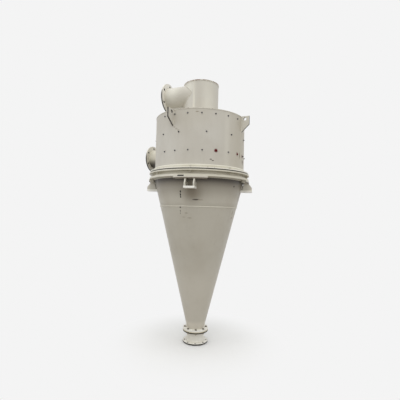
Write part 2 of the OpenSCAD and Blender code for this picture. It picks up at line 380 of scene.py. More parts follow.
def rubber():
    graph = Graph("black_rubber")
    dust = graph.ramp(graph.noise(40.0, 5.0, rough=0.7), 0.45, 0.8)
    graph.surface("Base Color", graph.mix(dust, srgb(24, 22, 19), srgb(62, 56, 46)))
    graph.surface("Roughness", graph.ramp(graph.noise(120.0, 3.0), 0.3, 0.7, 0.62, 0.85))
    graph.surface("Normal", graph.bump(graph.noise(300.0, 3.0), 0.0004, 0.5))
    return graph.material


def fibre():
    graph = Graph("fibre_sheet")
    cloth = graph.noise(160.0, 4.0, stretch=(1.0, 1.0, 5.0))
    colour = graph.mix(graph.ramp(cloth, 0.35, 0.65), srgb(222, 208, 142), srgb(188, 168, 96))
    graph.surface("Base Color", colour)
    graph.surface("Roughness", graph.ramp(cloth, 0.3, 0.7, 0.75, 0.92))
    graph.surface("Normal", graph.bump(cloth, 0.0004, 0.6))
    return graph.material


def steel(name, bright, dark, rust, metallic=0.85, marks=()):
    """Zinc or plain steel of small parts, dull and spotted with rust."""
    graph = Graph(name)
    cloud = graph.noise(70.0, 4.0, rough=0.65)
    colour = graph.mix(graph.ramp(cloud, 0.35, 0.7), bright, dark)
    spots = graph.ramp(graph.noise(130.0, 3.0, shift=(3.0, 1.0, 2.0)), 0.56, 0.70)
    colour = graph.mix(graph.times(spots, rust), colour, RUST)
    graph.surface("Base Color", graph.stained(colour, marks))
    graph.surface("Metallic", metallic)
    graph.surface("Roughness", graph.ramp(cloud, 0.3, 0.7, 0.42, 0.67))
    graph.surface("Normal", graph.bump(graph.noise(400.0, 3.0), 0.0003, 0.5))
    return graph.material


def rim(height, half, least, soft=0.003):
    """A mask for the edge of a plate near that height, outside the least radius."""

    def build(graph):
        level = graph.band(graph.z, height, half, soft)
        return graph.times(level, graph.math("GREATER_THAN", graph.radius(), least))

    return build


def stretch_z(bottom, top, amount, soft):
    """A mask for a span of heights."""

    def build(graph):
        above = graph.ramp(graph.z, bottom, bottom + soft)
        below = graph.ramp(graph.z, top - soft, top, 1.0, 0.0)
        return graph.times(graph.times(above, below), amount)

    return build


def plate_edge(amount):
    """A mask for painted shade on the narrow sides of an upright radial plate, save its top."""

    def build(graph):
        across = graph.minus(graph.times(graph.x, graph.ny), graph.times(graph.y, graph.nx))
        turned = graph.math("ABSOLUTE", graph.math("DIVIDE", across, graph.radius()))
        narrow = graph.ramp(turned, 0.3, 0.6, 1.0, 0.0)
        not_top = graph.ramp(graph.nz, 0.3, 0.6, 1.0, 0.0)
        return graph.times(graph.times(narrow, not_top), amount)

    return build


def duct_rim(y, z, amount):
    """A mask for painted shade on the lower half of a duct flange's rim."""

    def build(graph):
        reach = graph.length(graph.minus(graph.y, y), graph.minus(graph.z, z))
        outer = graph.ramp(reach, DUCT_FLANGE_R - 0.0025, DUCT_FLANGE_R - 0.0010)
        lower = graph.ramp(graph.nz, 0.0, 0.5, 1.0, 0.0)
        return graph.times(graph.times(outer, lower), amount)

    return build


def underside(amount):
    """A mask for painted shade on the lower side of a pipe along X, darkest at its bottom."""

    def build(graph):
        return graph.times(graph.ramp(graph.nz, -0.80, 0.0, 1.0, 0.0), amount)

    return build


def hole_shade_marks(x, y, z):
    """Painted shade in and round a duct flange's six holes."""
    out = []
    for hole in range(6):
        turn = math.radians(hole * 60.0)
        way = Vector((0.0, math.sin(turn), math.cos(turn)))
        centre = Vector((x + DUCT_FLANGE_T / 2.0, y, z)) + way * DUCT_PITCH_R
        out.append((BLACK_DRIPS_AND_SHADE, centre, (0.0170, 0.0145), 0.2, 1.0))
    return out


def soft_spot(centre, size, amount):
    """A mask without a hard edge, used for painted light and shade."""

    def build(graph):
        return graph.times(graph.spot(centre, size, 0.9), amount)

    return build


def slot_shade_mask(angle, z, half_length, half_height):
    """A mask for a level slot of painted shade in a round face at that azimuth."""
    out = around(1.0, angle, 0.0)

    def build(graph):
        reach = graph.plus(graph.times(graph.x, out.x), graph.times(graph.y, out.y))
        run = graph.minus(graph.times(graph.y, out.x), graph.times(graph.x, out.y))
        level = graph.band(graph.z, z, half_height, 0.002)
        window = graph.times(graph.band(run, 0.0, half_length, 0.003), level)
        # Only on the side that faces that way.
        return graph.times(window, graph.math("GREATER_THAN", reach, 0.5))

    return build


def shade_beside_cone(amount):
    """A mask for painted shade on a bracket's plates beside the cone."""

    def build(graph):
        narrowing = graph.times(graph.minus(graph.z, CONE_Z1), CONE_SLOPE)
        gap = graph.minus(graph.minus(graph.radius(), DRUM_R), narrowing)
        return graph.times(graph.ramp(gap, 0.006, 0.030, 1.0, 0.0), amount)

    return build


def wall_marks(rows, radius_at):
    """Marks on a round wall, from rows of azimuth, height, tint, half size, edge and strength."""
    return [(tint, around(radius_at(z), angle, z), *rest) for angle, z, tint, *rest in rows]


def drum_radius(z):
    """The drum's outside radius, the same at every height."""
    return DRUM_R


# Red paint, dabbed on two studs and the wall round them.
RED_DABS = wall_marks(
    (
        (-47.4, 0.4110, RED, (0.0185, 0.0190), 0.25, 1.0),
        (-14.8, 0.4105, srgb(104, 32, 28), (0.0150, 0.0210), 0.3, 0.95),
    ),
    drum_radius,
)
DRUM_MARKS = RED_DABS + wall_marks(
    (
        (-53.3, 0.3148, BARE, (0.013, 0.006), 0.3, 0.9),
        (-50.9, 0.3025, BARE, (0.012, 0.005), 0.3, 0.9),
        (-8.9, 0.4011, GRIME_AND_SHADE, (0.010, 0.034), 0.4, 0.9),
        (-0.4, 0.4075, srgb(104, 58, 44), (0.016, 0.022), 0.4, 0.9),
        (1.6, 0.3395, GRIME_AND_SHADE, (0.020, 0.030), 0.4, 0.9),
        (2.8, 0.6055, BARE, (0.010, 0.018), 0.4, 0.7),
        (3.2, 0.3501, BARE, (0.014, 0.012), 0.4, 0.7),
        (-70.1, 0.8169, GRIME_AND_SHADE, (0.016, 0.006), 0.5, 0.7),
        (-111.6, 0.4175, GRIME_AND_SHADE, (0.016, 0.004), 0.5, 0.6),
        # These four marks paint a lifting lug's shadow down the wall.
        (-100.6, 0.6864, GRIME_AND_SHADE, (0.012, 0.009), 0.4, 0.40),
        (-97.8, 0.6657, GRIME_AND_SHADE, (0.012, 0.009), 0.4, 0.40),
        (-95.1, 0.6453, GRIME_AND_SHADE, (0.012, 0.009), 0.4, 0.40),
        (-92.7, 0.6268, GRIME_AND_SHADE, (0.012, 0.009), 0.4, 0.40),
        (118.0, 0.330, GRIME_AND_SHADE, (0.018, 0.010), 0.5, 0.7),
        (64.0, 0.560, BARE, (0.010, 0.016), 0.4, 0.6),
        (152.0, 0.745, GRIME_AND_SHADE, (0.014, 0.008), 0.5, 0.7),
    ),
    drum_radius,
)
CONE_MARKS = wall_marks(
    (
        (-89.5, -0.0287, BLACK_DRIPS_AND_SHADE, (0.008, 0.015), 0.3, 1.0),
        (-89.8, -0.0604, BLACK_DRIPS_AND_SHADE, (0.007, 0.015), 0.3, 1.0),
        (-89.8, -0.0848, BLACK_DRIPS_AND_SHADE, (0.007, 0.012), 0.3, 1.0),
        (-91.7, -0.1971, BARE, (0.009, 0.010), 0.3, 1.0),
        (-92.1, -0.2371, BARE, (0.005, 0.012), 0.4, 0.7),
        (-92.4, -0.2621, BARE, (0.005, 0.010), 0.4, 0.6),
        (-70.0, -0.1129, BARE, (0.036, 0.007), 0.4, 0.9),
        (-63.0, -0.1149, GRIME_AND_SHADE, (0.022, 0.003), 0.4, 0.8),
        (-83.2, -0.2581, GRIME_AND_SHADE, (0.015, 0.004), 0.5, 0.8),
        (-78.6, -0.3102, GRIME_AND_SHADE, (0.020, 0.004), 0.5, 0.7),
        (-87.6, -0.3032, GRIME_AND_SHADE, (0.018, 0.003), 0.5, 0.6),
        (-17.1, 0.0471, BARE, (0.012, 0.009), 0.3, 1.0),
        (-3.0, -0.3044, RUST, (0.014, 0.014), 0.4, 0.5),
        (-3.9, -0.2443, GRIME_AND_SHADE, (0.012, 0.030), 0.5, 0.5),
        (100.0, -0.150, GRIME_AND_SHADE, (0.006, 0.040), 0.4, 0.7),
        (172.0, -0.620, GRIME_AND_SHADE, (0.010, 0.030), 0.5, 0.6),
    ),
    cone_radius,
)

# Chips: tint, amount and mask. Painted light and shade: tint and mask.
ROOF_CHIPS = (RUST, 0.45, rim(ROOF_Z1 - 0.003, 0.004, 0.525))
LID_CHIPS = (RUST, 0.80, rim(PLENUM_Z1 + 0.007, 0.004, 0.200))
# A level slot of painted shade at the edge of the front pad.
PAD_SLOT_SHADE = slot_shade_mask(-85.1, 0.1310, 0.034, 0.0060)

drum_paint = paint(
    "drum",
    chips=[ROOF_CHIPS],
    marks=DRUM_MARKS,
    light_and_shade=[
        # Painted shade on the drum's two sides and on a patch near its top, and a painted highlight down an
        # upright band.
        (SIDE_SHADE, soft_spot(around(DRUM_R, -2.0, 0.50), (0.25, 0.60), 0.45)),
        (SIDE_SHADE, soft_spot(around(DRUM_R, -152.0, 0.50), (0.13, 0.60), 0.45)),
        (SIDE_SHADE, soft_spot(around(DRUM_R, -74.0, 0.77), (0.22, 0.12), 0.16)),
        (PAINTED_HIGHLIGHT, soft_spot(around(DRUM_R, -33.0, 0.52), (0.030, 0.45), 0.16)),
    ],
)
top_paint = paint(
    "top",
    chips=[ROOF_CHIPS, LID_CHIPS],
    light_and_shade=[
        # Painted highlights on the plenum's seam and on two places of its wall, and painted shade on its
        # front.
        (PAINTED_HIGHLIGHT, soft_spot(around(PLENUM_R, PLENUM_SEAM, 1.05), (0.011, 0.22), 0.75)),
        (PAINTED_HIGHLIGHT, soft_spot(around(PLENUM_R, -112.0, 1.23), (0.060, 0.060), 0.60)),
        (PAINTED_HIGHLIGHT, soft_spot(around(PLENUM_R, -41.0, 1.08), (0.070, 0.30), 0.20)),
        (GRIME_AND_SHADE, soft_spot(around(PLENUM_R, -74.0, 1.08), (0.050, 0.30), 0.16)),
    ],
)
inlet_rim_paint = paint(
    "inlet_flange",
    # Painted shade in the bolt holes and on the lower half of the rim.
    marks=hole_shade_marks(INLET_X, INLET_Y, INLET_Z),
    light_and_shade=[(BLACK_DRIPS_AND_SHADE, duct_rim(INLET_Y, INLET_Z, 0.95))],
)
outlet_rim_paint = paint(
    "outlet_flange",
    # Painted shade in the bolt holes and on the lower half of the rim.
    marks=hole_shade_marks(EXIT_X, EXIT_Y, EXIT_Z),
    light_and_shade=[(BLACK_DRIPS_AND_SHADE, duct_rim(EXIT_Y, EXIT_Z, 0.9))],
)
outlet_pipe_paint = paint(
    "outlet_pipe",
    rough=0.20,
    light_and_shade=[
        # A painted highlight near the flange, and painted shade towards the plenum.
        (PAINTED_HIGHLIGHT, soft_spot(Vector((-0.300, -0.190, 1.195)), (0.075, 0.075), 0.50)),
        (GRIME_AND_SHADE, soft_spot(Vector((-0.150, -0.190, 1.160)), (0.110, 0.150), 0.15)),
    ],
)
# Painted shade on the pipe's underside.
inlet_pipe_paint = paint("inlet_pipe", light_and_shade=[(DEEP_SHADE, underside(0.92))])
ring_paint = paint(
    "rings",
    chips=[(BARE, 0.30, rim(LEG_Z1, 0.004, 0.582))],
    light_and_shade=[
        # Painted highlights along the hoop's top and the leg's edge, and the pad's slot of painted shade.
        (PAINTED_HIGHLIGHT, rim(HOOP_Z1 - 0.0020, 0.0035, 0.535, 0.002)),
        (PAINTED_HIGHLIGHT, rim(LEG_Z1 - 0.0050, 0.0040, 0.586, 0.002)),
        (BLACK_DRIPS_AND_SHADE, PAD_SLOT_SHADE),
    ],
)
plate_paint = paint(
    "plates",
    light_and_shade=[
        # Painted shade beside the cone, under the pads and in the pad's slot.
        (DEEP_SHADE, shade_beside_cone(0.80)),
        (SHADE_UNDER_RING, rim(PAD_Z0 + 0.0020, 0.0050, PAD_R - 0.0100)),
        (BLACK_DRIPS_AND_SHADE, PAD_SLOT_SHADE),
    ],
)
# Painted shade on the lugs' narrow sides.
lug_paint = paint("lugs", light_and_shade=[(DEEP_SHADE, plate_edge(0.92))])
# The seats and the collar take lighter creams: painted light.
seat_paint = paint("seats")
collar_paint = paint("collar")
CONE_SHADING = [
    # Painted shade under the rings, and a painted highlight along the seam.
    (SHADE_UNDER_RING, stretch_z(-0.13, 0.30, 0.46, 0.20)),
    (DEEP_SHADE, stretch_z(0.060, 0.30, 0.80, 0.055)),
    (DEEP_SHADE, stretch_z(0.010, 0.30, 0.52, 0.090)),
    (PAINTED_HIGHLIGHT, stretch_z(SEAM_Z - 0.010, SEAM_Z + 0.010, 0.5, 0.006)),
]
# A strong and a faint painted shadow below each bracket: turn, height, half size and strength.
for turn, z, size, strength in ((1.0, -0.045, (0.085, 0.080), 0.58), (9.0, -0.050, (0.150, 0.090), 0.10)):
    for number in range(4):
        stain = around(0.495, BRACKET_TURN + turn + number * 90.0, z)
        CONE_SHADING.append((BRACKET_SHADOW, soft_spot(stain, size, strength)))
CONE_SHADING += [
    # Painted light low on the cone and near its foot, and a dark line at the foot.
    (PAINTED_CONE_LIGHT, stretch_z(CONE_Z0 - 0.50, -0.70, 0.28, 0.45)),
    (PAINTED_CONE_LIGHT, stretch_z(CONE_Z0 - 0.10, CONE_Z0 + 0.110, 0.50, 0.05)),
    (GRIME_AND_SHADE, stretch_z(CONE_Z0 - 0.01, CONE_Z0 + 0.008, 0.8, 0.004)),
]
cone_paint = paint("cone", marks=CONE_MARKS, light_and_shade=CONE_SHADING)
spout_paint = paint(
    "spout",
    chips=[(RUST, 0.20, rim(SPOOL_Z1 + 0.001, 0.002, 0.12))],
    # Painted shade in the discharge flange's holes.
    marks=[
        (BLACK_DRIPS_AND_SHADE, around(SMALL_BOLT_R, SMALL_TURN + turn, DISCHARGE_Z1 - 0.006), (0.0120, 0.0120), 0.2, 0.95)
        for turn in range(0, 360, 45)
    ],
    light_and_shade=[
        # Painted shade on the discharge and spool flanges' rims and on the neck under the spool flange.
        (BLACK_DRIPS_AND_SHADE, rim(DISCHARGE_Z0 + 0.0040, 0.0075, SMALL_FLANGE_R - 0.0010, 0.001)),
        (DEEP_SHADE, rim(SPOOL_Z0 + 0.0070, 0.0065, SMALL_FLANGE_R - 0.0030, 0.001)),
        (GRIME_AND_SHADE, stretch_z(SPOOL_Z0 - 0.019, SPOOL_Z0 + 0.0015, 0.9, 0.006)),
    ],
)
# The pad's slot of painted shade also runs over the welds.
bead_paint = paint("welds", light_and_shade=[(BLACK_DRIPS_AND_SHADE, PAD_SLOT_SHADE)])
bolt_paint = paint("bolts")
black_rubber = rubber()
fibre_sheet = fibre()
stud_steel = steel("stud_steel", srgb(104, 106, 110), srgb(52, 50, 50), rust=0.45, marks=RED_DABS)
bolt_steel = steel("bolt_steel", srgb(122, 112, 98), srgb(78, 68, 56), rust=0.5, metallic=0.4)

FINISH = {
    "body_gasket": black_rubber,
    "spool_gasket": fibre_sheet,
    "body_ring": ring_paint,
    "support_ring": ring_paint,
    "drum_angle": ring_paint,
    "cone_collar": collar_paint,
    "discharge_neck": spout_paint,
    "vortex_finder": cone_paint,
    "drum_roof": top_paint,
    "plenum_lid": top_paint,
    "inlet_pipe": inlet_pipe_paint,
    "outlet_pipe": outlet_pipe_paint,
}
for number in range(1, 5):
    FINISH[f"lifting_lug_{number}"] = lug_paint
    FINISH[f"bracket_seat_{number}"] = seat_paint
for node_name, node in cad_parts.items():
    finish = FINISH.get(node_name, plate_paint)
    for slot_place in node.material_slots:
        slot_place.material = finish


def smooth(mesh, angle=32.0):
    """Smooth faces, with sharp edges where they turn by more than the angle."""
    mesh.polygons.foreach_set("use_smooth", [True] * len(mesh.polygons))
    mesh.set_sharp_from_angle(angle=math.radians(angle))


def add_piece(name, mesh, material, slot, *nodes):
    """Puts a finished mesh on the object as a piece of the one body, in place of any nodes named."""
    mesh.materials.clear()
    mesh.materials.append(material)
    piece = new_object(name, mesh)
    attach(piece, "root")
    if nodes:
        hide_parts(*nodes)


def baked(source):
    """The mesh of an object with its modifiers or its curve's form worked out."""
    graph = bpy.context.evaluated_depsgraph_get()
    return bpy.data.meshes.new_from_object(source.evaluated_get(graph))


def lathe(name, profile, steps):
    """A closed profile of (radius, height) points turned round the vessel's axis."""
    points = []
    faces = []
    count = len(profile)
    for cos, sin in circle(steps):
        points += [(radius * cos, radius * sin, height) for radius, height in profile]
    for step in range(steps):
        after = (step + 1) % steps
        for here in range(count):
            there = (here + 1) % count
            near = step * count
            far = after * count
            faces.append((near + here, far + here, far + there, near + there))
    mesh = bpy.data.meshes.new(name)
    mesh.from_pydata(points, [], faces)
    return mesh


def tube(radius, left, right, y, z, steps=96):
    """A closed plain cylinder along X, used only to cut a hole."""
    work = bmesh.new()
    turn = Matrix.Rotation(math.radians(90.0), 4, "Y")
    centre = Matrix.Translation(((left + right) / 2.0, y, z))
    bmesh.ops.create_cone(
        work,
        cap_ends=True,
        segments=steps,
        radius1=radius,
        radius2=radius,
        depth=right - left,
        matrix=centre @ turn,
    )
    mesh = bpy.data.meshes.new("cutter")
    work.to_mesh(mesh)
    work.free()
    return mesh


def cut(mesh, cutter_mesh):
    """The mesh with the cutter's form taken out of it."""
    target = new_object("target", mesh)
    cutter = new_object("cutter", cutter_mesh)
    change = target.modifiers.new("cut", "BOOLEAN")
    change.operation = "DIFFERENCE"
    change.solver = "EXACT"
    change.object = cutter
    out = baked(target)
    bpy.data.objects.remove(target)
    bpy.data.objects.remove(cutter)
    return out


def shell_profile(radius, bottom, top, rows=1, top_radius=None, soft=0.0008):
    """A plate wall's profile, with its four edges just broken."""
    upper = radius if top_radius is None else top_radius
    profile = [(radius - WALL_T + soft, bottom), (radius - soft, bottom)]
    for row in range(rows + 1):
        share = row / rows
        inset = soft if row == 0 else (-soft if row == rows else 0.0)
        profile.append((radius + (upper - radius) * share, bottom + (top - bottom) * share + inset))
    profile += [(upper - soft, top), (upper - WALL_T + soft, top)]
    profile += [(upper - WALL_T, top - soft), (radius - WALL_T, bottom + soft)]
    return profile


def add_shells():
    """Whole walls in place of the CAD walls' quarters, two of them with a duct's hole."""
    drum = shell_profile(DRUM_R, DRUM_Z0, DRUM_Z1)
    plenum = shell_profile(PLENUM_R, ROOF_Z1, PLENUM_Z1)
    upper = shell_profile(SEAM_R, SEAM_Z, CONE_Z1, 6, DRUM_R)
    lower = shell_profile(OUTLET_R, CONE_Z0, SEAM_Z, 16, SEAM_R)
    inlet_hole = tube(DUCT_R + 0.0005, -0.75, -0.20, INLET_Y, INLET_Z)
    exit_hole = tube(DUCT_R + 0.0005, -0.40, -0.05, EXIT_Y, EXIT_Z)
    for name, profile, steps, hole, finish, slot, wall_name in (
        ("drum_shell", drum, 224, inlet_hole, drum_paint, "drum_paint", "drum_wall"),
        ("plenum_shell", plenum, 160, exit_hole, top_paint, "drum_paint", "plenum_wall"),
        ("cone_upper_course", upper, 224, None, cone_paint, "cone_paint", "upper_cone"),
        ("cone_lower_course", lower, 192, None, cone_paint, "cone_paint", "lower_cone"),
    ):
        wall = lathe(name, profile, steps)
        if hole is not None:
            wall = cut(wall, hole)
        smooth(wall)
        add_piece(name, wall, finish, slot, *(f"{wall_name}_{number}" for number in range(1, 5)))


def ring_points(radius, steps, way=1.0, centre=(0.0, 0.0)):
    """Points round a flat circle, the other way round for a way of -1."""
    return [(centre[0] + radius * cos, centre[1] + way * radius * sin) for cos, sin in circle(steps)]


def flange(name, sizes, thickness, place, soft=0.0012):
    """A flat flange with its rim, bore and bolt holes broken at the edges, lying on z = 0 of place.

    Its sizes are the outside and the bore's radius, the number of holes, their radius, the radius that
    they lie on and the first one's azimuth.
    """
    outer, bore, holes, hole_r, pitch_r, first = sizes
    shape = bpy.data.curves.new(name, "CURVE")
    shape.dimensions = "2D"
    shape.fill_mode = "BOTH"
    shape.extrude = thickness / 2.0 - soft
    shape.bevel_depth = soft
    shape.bevel_resolution = 2
    loops = [ring_points(outer - soft, 128), ring_points(bore + soft, 96, -1.0)]
    for hole in range(holes):
        turn = math.radians(first + hole * 360.0 / holes)
        centre = (pitch_r * math.cos(turn), pitch_r * math.sin(turn))
        loops.append(ring_points(hole_r + soft, 28, -1.0, centre))
    for loop in loops:
        curve = shape.splines.new("POLY")
        curve.points.add(len(loop) - 1)
        for point, (x, y) in zip(curve.points, loop):
            point.co = (x, y, 0.0, 1.0)
        curve.use_cyclic_u = True
    holder = new_object(name, shape)
    mesh = baked(holder)
    bpy.data.objects.remove(holder)
    mesh.name = name
    mesh.transform(place @ Matrix.Translation((0.0, 0.0, thickness / 2.0)))
    smooth(mesh, 40.0)
    return mesh


def duct_place(x, y, z):
    """Stands a flange up in the plane x with its face towards -X and its first hole at the top."""
    turn = Matrix(((0.0, 0.0, 1.0), (0.0, -1.0, 0.0), (1.0, 0.0, 0.0)))
    return Matrix.Translation((x, y, z)) @ turn.to_4x4()


def add_flanges():
    """The five bolted flanges with broken edges, in place of the CAD flanges."""
    duct_sizes = (DUCT_FLANGE_R, DUCT_BORE_R, 6, DUCT_HOLE_R, DUCT_PITCH_R, 0.0)
    for name, x, y, z, node_name, finish in (
        ("inlet_flange_ring", INLET_X, INLET_Y, INLET_Z, "inlet_flange", inlet_rim_paint),
        ("outlet_flange_ring", EXIT_X, EXIT_Y, EXIT_Z, "outlet_flange", outlet_rim_paint),
    ):
        mesh = flange(name, duct_sizes, DUCT_FLANGE_T, duct_place(x, y, z))
        add_piece(name, mesh, finish, "drum_paint", node_name)
    small_sizes = (SMALL_FLANGE_R, SMALL_BORE_R, 8, SMALL_HOLE_R, SMALL_BOLT_R, SMALL_TURN)
    for name, bottom, top, node_name in (
        ("discharge_flange_ring", DISCHARGE_Z0, DISCHARGE_Z1, "discharge_flange"),
        ("spool_flange_ring", SPOOL_Z0, SPOOL_Z1, "spool_flange"),
        ("cone_flange_ring", OUTLET_FLANGE_Z0, CONE_Z0, "cone_outlet_flange"),
    ):
        mesh = flange(name, small_sizes, top - bottom, Matrix.Translation((0.0, 0.0, bottom)))
        add_piece(name, mesh, spout_paint, "cone_paint", node_name)


# A direction that runs along hardly any bead, to set the beads' sides by, and the step along them.
OBLIQUE = Vector((0.31, 0.22, 0.93))
BEAD_STEP = 0.0028


def bead_mesh(name, runs, ripple=0.14, pitch=0.0075, sides=6):
    """Weld beads laid along open or closed runs: (points, radius, closed)."""
    verts = []
    faces = []
    for points, radius, closed in runs:
        count = len(points)
        first = len(verts)
        walked = 0.0
        for here in range(count):
            back = points[(here - 1) % count] if closed or here > 0 else points[here]
            ahead = points[(here + 1) % count] if closed or here < count - 1 else points[here]
            along = (ahead - back).normalized()
            side = along.cross(OBLIQUE)
            if side.length < 0.1:
                side = along.cross(Vector((1.0, 0.0, 0.0)))
            side.normalize()
            other = along.cross(side).normalized()
            if here > 0:
                walked += (points[here] - points[here - 1]).length
            swell = 1.0 + ripple * math.sin(2.0 * math.pi * walked / pitch) + 0.06 * math.sin(walked * 61.0)
            for cos, sin in circle(sides):
                verts.append(points[here] + (side * cos + other * sin) * radius * swell)
        last = count if closed else count - 1
        for here in range(last):
            after = (here + 1) % count
            for corner in range(sides):
                there = (corner + 1) % sides
                near = first + here * sides
                far = first + after * sides
                faces.append((near + corner, near + there, far + there, far + corner))
        if not closed:
            faces.append(tuple(first + corner for corner in reversed(range(sides))))
            faces.append(tuple(first + (count - 1) * sides + corner for corner in range(sides)))
    mesh = bpy.data.meshes.new(name)
    mesh.from_pydata([tuple(v) for v in verts], [], faces)
    work = bmesh.new()
    work.from_mesh(mesh)
    bmesh.ops.recalc_face_normals(work, faces=work.faces)
    work.to_mesh(mesh)
    work.free()
    smooth(mesh, 75.0)
    return mesh


def level_ring(radius, z):
    """Points round the vessel at that height."""
    count = int(2.0 * math.pi * radius / BEAD_STEP)
    return [around(radius, 360.0 * here / count, z) for here in range(count)]


def upright_ring(x, y, z, radius):
    """Points round a pipe along X."""
    count = int(2.0 * math.pi * radius / BEAD_STEP)
    return [Vector((x, y + radius * cos, z + radius * sin)) for cos, sin in circle(count)]


def saddle(y, z, radius, vessel):
    """Where a pipe along -X at that height and offset comes out of the vessel's wall."""
    out = upright_ring(0.0, y, z, radius)
    for point in out:
        point.x = -math.sqrt(max(0.0, vessel * vessel - point.y * point.y))
    return out


def line(start, end, step=0.003):
    """Points from start to end, about step apart."""
    count = max(2, int((end - start).length / step))
    return [start.lerp(end, here / count) for here in range(count + 1)]


def wall_seam(angle, bottom, top):
    """A straight seam up a wall at that azimuth, between two places of (radius, height)."""
    return line(around(bottom[0], angle, bottom[1]), around(top[0], angle, top[1]))


def level_runs(rows):
    """Closed level beads, from rows of radius, height and bead size."""
    return [(level_ring(radius, z), size, True) for radius, z, size in rows]


def directions(angle):
    """The level directions out from the axis and across that, at an azimuth."""
    out = around(1.0, angle, 0.0)
    return out, Vector((-out.y, out.x, 0.0))


def drum_runs():
    """The beads on drum, plenum and ducts: points, bead size, and whether the run closes."""
    runs = level_runs(
        (
            (DRUM_R + 0.0004, DRUM_Z1 + 0.0010, 0.0030),
            (DRUM_R + 0.0012, HOOP_Z1, 0.0038),
            (PLENUM_R + 0.0015, ROOF_Z1 + 0.0010, 0.0042),
            (PLENUM_R + 0.0010, PLENUM_Z1 - 0.0005, 0.0026),
        )
    )
    runs += [
        (upright_ring(EXIT_X + DUCT_FLANGE_T, EXIT_Y, EXIT_Z, DUCT_R + 0.001), 0.0036, True),
        (saddle(EXIT_Y, EXIT_Z, DUCT_R + 0.0015, PLENUM_R + 0.001), 0.0042, True),
        (upright_ring(INLET_X + DUCT_FLANGE_T, INLET_Y, INLET_Z, DUCT_R + 0.001), 0.0036, True),
        (saddle(INLET_Y, INLET_Z, DUCT_R + 0.0015, DRUM_R + 0.001), 0.0045, True),
        (wall_seam(PLENUM_SEAM, (PLENUM_R, ROOF_Z1), (PLENUM_R, PLENUM_Z1)), 0.0030, False),
        (wall_seam(37.0, (DRUM_R, HOOP_Z1), (DRUM_R, DRUM_Z1)), 0.0022, False),
    ]
    for angle in LUG_ANGLES:
        out, across = directions(angle)
        for side in (-1.0, 1.0):
            root = out * (DRUM_R + 0.0006) + across * side * (LUG_T / 2.0 + 0.0006)
            rising = line(root + UP * (ROOF_Z1 - LUG_DROP), root + UP * (ROOF_Z1 - 0.004))
            runs.append((rising, 0.0045, False))
    return runs


def bracket_runs(turn):
    """The beads of the bracket at that azimuth: both sides of both gussets, and half its pad's edge."""
    out, across = directions(turn)
    runs = []
    for side in (-1.0, 1.0):
        for face in (GUSSETS_WIDTH / 2.0 + 0.0005, GUSSETS_WIDTH / 2.0 - GUSSET_T - 0.0005):
            shift = across * side * face
            rising = []
            for here in range(31):
                z = SEAT_Z1 + 0.001 + (PAD_Z0 - SNIPE * 1.3 - SEAT_Z1) * here / 30.0
                reach = math.sqrt(cone_radius(z) ** 2 - face**2)
                rising.append(out * (reach + 0.001) + shift + UP * z)
            runs.append((rising, 0.0040, False))
            for start, end, z in (
                (PAD_R0 + SNIPE, PAD_R - 0.008, PAD_Z0 - 0.0005),
                (*SEAT_WELD_R, SEAT_Z1 + 0.0005),
            ):
                level = shift + UP * z
                runs.append((line(out * start + level, out * end + level), 0.0032, False))
    first = turn - PAD_HALF
    edge = [around(PAD_R - 0.0040, first + PAD_HALF * here / 30.0, SUPPORT_Z0) for here in range(61)]
    runs.append((edge, 0.0030, False))
    return runs


def cone_runs():
    """The beads on cone, rings, brackets and discharge."""
    runs = level_runs(
        (
            (SEAM_R + 0.0002, SEAM_Z, 0.0058),
            (DRUM_R + 0.0001, CONE_Z1, 0.0030),
            (DRUM_R + 0.0012, RING_Z0, 0.0042),
            (DRUM_R + 0.0012, SUPPORT_Z1, 0.0042),
            (DRUM_R + 0.0012, SUPPORT_Z0, 0.0036),
            (OUTLET_R + 0.0020, CONE_Z0 + 0.0010, 0.0040),
            (OUTLET_R + 0.0012, SPOOL_Z0, 0.0036),
            (OUTLET_R + 0.0012, DISCHARGE_Z1, 0.0038),
        )
    )
    over, under = SEAM_Z + 0.006, SEAM_Z - 0.004
    runs.append((wall_seam(20.0, (cone_radius(over), over), (DRUM_R, CONE_Z1)), 0.0022, False))
    runs.append((wall_seam(128.0, (OUTLET_R, CONE_Z0), (cone_radius(under), under)), 0.0022, False))
    for index in range(4):
        runs += bracket_runs(BRACKET_TURN + index * 90.0)
    return runs


def add_welds():
    add_piece("drum_welds", bead_mesh("drum_welds", drum_runs()), bead_paint, "drum_paint")
    add_piece("cone_welds", bead_mesh("cone_welds", cone_runs()), bead_paint, "cone_paint")


def frame_on(out, place):
    """A matrix whose z runs along the level direction out, at place."""
    first = UP.cross(out).normalized()
    return Matrix.Translation(place) @ Matrix((first, out.cross(first), out)).transposed().to_4x4()


def lifted(place, height):
    """The place moved along its own z."""
    return place @ Matrix.Translation((0.0, 0.0, height))


